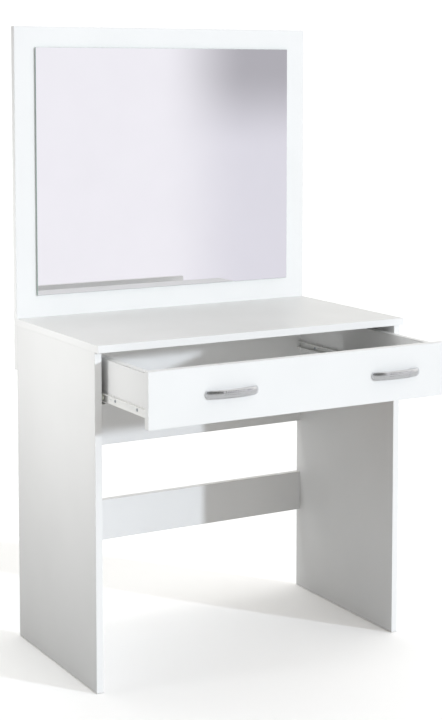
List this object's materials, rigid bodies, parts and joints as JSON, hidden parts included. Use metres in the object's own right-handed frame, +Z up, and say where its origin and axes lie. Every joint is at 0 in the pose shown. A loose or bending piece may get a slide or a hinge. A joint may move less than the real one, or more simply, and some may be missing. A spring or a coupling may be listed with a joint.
{
  "type": "vanity table with mirror",
  "caption": "White flat-pack vanity table: two panel legs, rear rails, an upright mirror panel and a full-width drawer on roller slides with bow handles.",
  "frame": {"origin": "middle of the outline on the floor, with the drawer part-way open as at rest", "axes": "+X to the right when facing the mirror, +Y to the back where the mirror panel stands, +Z up; the drawer opens towards -Y"},
  "size_m": [0.785, 0.702, 1.426],
  "materials": {
    "white_board": "white melamine-faced chipboard, fine satin texture",
    "white_edge": "white ABS edge band, satin",
    "hardboard": "thin hardboard lacquered white on the upper face",
    "mirror_glass": "silvered float glass with ground edges",
    "foam_tape": "double-sided foam mounting tape",
    "zinc_steel": "zinc-plated steel and die-cast zinc",
    "slide_steel": "steel sheet with white epoxy powder coat",
    "nylon": "moulded natural nylon",
    "white_plastic": "moulded white polyethylene",
    "beech": "fluted beech dowel",
    "handle_chrome": "chrome-plated die-cast zinc, faceted middle"
  },
  "bodies": {
    "table": {"left_side_panel": "white_board", "right_side_panel": "white_board", "side_panel_edging": "white_edge", "table_top": "white_board", "table_top_edging": "white_edge", "upper_rear_rail": "white_board", "lower_rear_rail": "white_board", "rail_edging": "white_edge", "mirror_panel": "white_board", "mirror_panel_edging": "white_edge", "mirror_glass": "mirror_glass", "mirror_tape": "foam_tape", "mirror_panel_screws": "zinc_steel", "screw_caps": "white_plastic", "carcass_cams": "zinc_steel", "carcass_cam_bolts": "zinc_steel", "carcass_dowels": "beech", "floor_glides": "white_plastic", "left_cabinet_slide": "slide_steel", "right_cabinet_slide": "slide_steel", "cabinet_slide_screws": "zinc_steel", "front_roller_axles": "zinc_steel"},
    "drawer": {"drawer_front": "white_board", "drawer_front_edging": "white_edge", "drawer_left_side": "white_board", "drawer_right_side": "white_board", "drawer_back": "white_board", "drawer_box_edging": "white_edge", "drawer_bottom": "hardboard", "left_drawer_slide": "slide_steel", "right_drawer_slide": "slide_steel", "drawer_slide_screws": "zinc_steel", "rear_roller_axles": "zinc_steel", "drawer_cams": "zinc_steel", "drawer_cam_bolts": "zinc_steel", "drawer_dowels": "beech", "drawer_back_screws": "zinc_steel", "left_handle": "handle_chrome", "right_handle": "handle_chrome", "handle_screws": "zinc_steel"},
    "front_left_wheel": {"front_left_roller": "nylon"},
    "front_right_wheel": {"front_right_roller": "nylon"},
    "rear_left_wheel": {"rear_left_roller": "nylon"},
    "rear_right_wheel": {"rear_right_roller": "nylon"}
  },
  "joints": [
    {"name": "drawer_slide", "type": "slide", "parent": "table", "child": "drawer", "axis": [0, -1, 0], "range_m": [-0.228, 0.072]},
    {"name": "front_left_roll", "type": "hinge", "parent": "table", "child": "front_left_wheel", "pos_m": [-0.37, -0.072, 0.6375], "axis": [1, 0, 0], "continuous": true},
    {"name": "front_right_roll", "type": "hinge", "parent": "table", "child": "front_right_wheel", "pos_m": [0.37, -0.072, 0.6375], "axis": [1, 0, 0], "continuous": true},
    {"name": "rear_left_roll", "type": "hinge", "parent": "drawer", "child": "rear_left_wheel", "pos_m": [-0.37, 0.072, 0.6307], "axis": [1, 0, 0], "continuous": true},
    {"name": "rear_right_roll", "type": "hinge", "parent": "drawer", "child": "rear_right_wheel", "pos_m": [0.37, 0.072, 0.6307], "axis": [1, 0, 0], "continuous": true}
  ],
  "couplings": [
    {"joint": "front_left_roll", "follows": "drawer_slide", "rad_per_m": 142.86},
    {"joint": "front_right_roll", "follows": "drawer_slide", "rad_per_m": 142.86},
    {"joint": "rear_left_roll", "follows": "drawer_slide", "rad_per_m": 142.86},
    {"joint": "rear_right_roll", "follows": "drawer_slide", "rad_per_m": 142.86}
  ]
}
